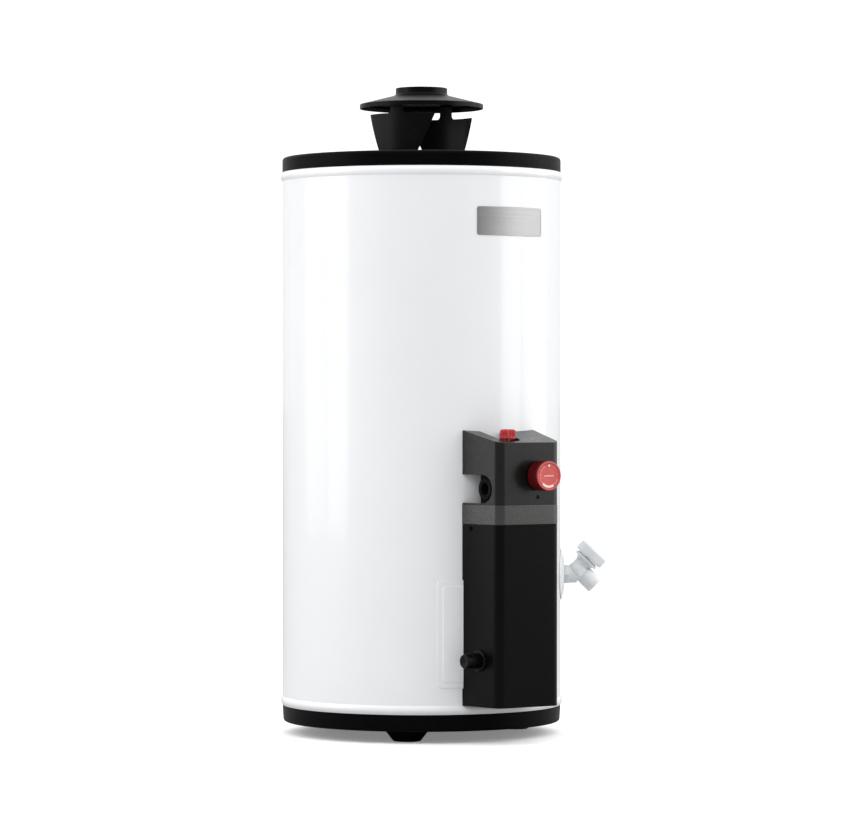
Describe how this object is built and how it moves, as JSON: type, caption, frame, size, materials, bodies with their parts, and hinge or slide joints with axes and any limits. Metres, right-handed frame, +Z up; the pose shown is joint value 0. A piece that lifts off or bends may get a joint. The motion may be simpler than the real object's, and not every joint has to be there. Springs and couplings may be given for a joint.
{
  "type": "tank water heater",
  "caption": "Free-standing gas storage water heater with a round white jacket, black covers and feet, draft hood, gas control with dial and drain valve.",
  "frame": {"origin": "on the tank's vertical axis at floor level, in the middle of the ring of feet", "axes": "+Z up along the tank, the gas control faces -Y, +X is to the right of a person facing the control"},
  "size_m": [0.439, 0.507, 0.949],
  "materials": {
    "white_enamel": "gloss enamel",
    "black_paint": "satin powder coat",
    "zinc_fasteners": "bright zinc",
    "tank_steel": "blue primer",
    "bare_steel": "mill finish",
    "foam": "rigid foam",
    "pipe_plastic": "matte",
    "anode_metal": "cast",
    "valve_casting": "die cast",
    "copper": "drawn copper",
    "brass": "turned",
    "aluminium_tube": "drawn",
    "red_plastic": "satin moulded",
    "black_plastic": "fine grain",
    "cover_grey": "satin powder coat",
    "band_grey": "satin",
    "cover_black": "satin powder coat",
    "plate_metal": "brushed",
    "lead_jacket": "silicone",
    "ceramic": "fired",
    "valve_white": "moulded",
    "washer_rubber": "matt"
  },
  "bodies": {
    "heater": {"outer_jacket": "white_enamel", "top_cover": "black_paint", "base_pan": "black_paint", "front_foot": "black_paint", "right_foot": "black_paint", "rear_foot": "black_paint", "foot_bolts": "zinc_fasteners", "inner_tank": "tank_steel", "flue_tube": "bare_steel", "flue_baffle": "bare_steel", "foam_insulation": "foam", "combustion_skirt": "bare_steel", "cold_water_spud": "bare_steel", "hot_water_spud": "bare_steel", "dip_tube": "pipe_plastic", "anode_rod": "anode_metal", "relief_valve_spud": "bare_steel", "control_spud": "bare_steel", "drain_spud": "bare_steel", "draft_hood_cap": "black_paint", "draft_hood_left_leg": "black_paint", "draft_hood_right_leg": "black_paint", "draft_hood_screws": "zinc_fasteners", "gas_valve_body": "valve_casting", "thermostat_probe": "copper", "dial_bezel": "black_plastic", "gas_cock_bezel": "black_plastic", "control_cover_upper": "cover_grey", "control_cover_band": "band_grey", "control_cover_lower": "cover_black", "cover_brackets": "zinc_fasteners", "cover_screws": "cover_black", "access_panel": "white_enamel", "access_panel_screws": "zinc_fasteners", "inner_access_door": "bare_steel", "nameplate": "plate_metal", "piezo_igniter_body": "black_plastic", "piezo_nut": "black_plastic", "igniter_lead": "lead_jacket", "igniter_electrode": "ceramic", "burner": "bare_steel", "burner_bracket": "zinc_fasteners", "burner_manifold_tube": "aluminium_tube", "manifold_nut": "brass", "burner_orifice": "brass", "pilot_burner": "brass", "pilot_tube": "aluminium_tube", "thermocouple": "copper", "drain_valve_body": "valve_white", "drain_bonnet": "valve_white", "drain_escutcheon": "valve_white"},
    "temperature_dial": {"temperature_dial": "red_plastic", "dial_shaft": "brass"},
    "gas_cock_plug": {"gas_cock_plug": "brass"},
    "gas_cock_knob": {"gas_cock_knob": "red_plastic", "gas_cock_stem": "brass"},
    "igniter_button": {"piezo_button": "black_plastic"},
    "drain_washer": {"drain_washer": "washer_rubber"},
    "drain_handle": {"drain_handle": "valve_white", "drain_stem": "brass"}
  },
  "joints": [
    {"name": "temperature_dial_turn", "type": "hinge", "parent": "heater", "child": "temperature_dial", "pos_m": [0.016, -0.28, 0.383], "axis": [0, -1, 0], "range_deg": [0, 270]},
    {"name": "gas_cock_turn", "type": "hinge", "parent": "heater", "child": "gas_cock_plug", "pos_m": [-0.019, -0.247, 0.42], "axis": [0, 0, 1], "range_deg": [0, 180]},
    {"name": "gas_cock_push", "type": "slide", "parent": "gas_cock_plug", "child": "gas_cock_knob", "axis": [0, 0, -1], "range_m": [0, 0.005], "stiffness_N_per_m": 600, "springref_m": -0.003},
    {"name": "igniter_button_push", "type": "slide", "parent": "heater", "child": "igniter_button", "axis": [0.9942, 0.1071, 0], "range_m": [0, 0.007], "stiffness_N_per_m": 1500, "springref_m": -0.003},
    {"name": "drain_washer_lift", "type": "slide", "parent": "heater", "child": "drain_washer", "axis": [0.5654, -0.3814, 0.7314], "range_m": [0, 0.0061]},
    {"name": "drain_handle_turn", "type": "hinge", "parent": "drain_washer", "child": "drain_handle", "pos_m": [0.20814, -0.14039, 0.26304], "axis": [0.5654, -0.3814, 0.7314], "range_deg": [0, 720]}
  ],
  "couplings": [
    {"joint": "drain_washer_lift", "follows": "drain_handle_turn", "m_per_rad": 0.00047746}
  ]
}
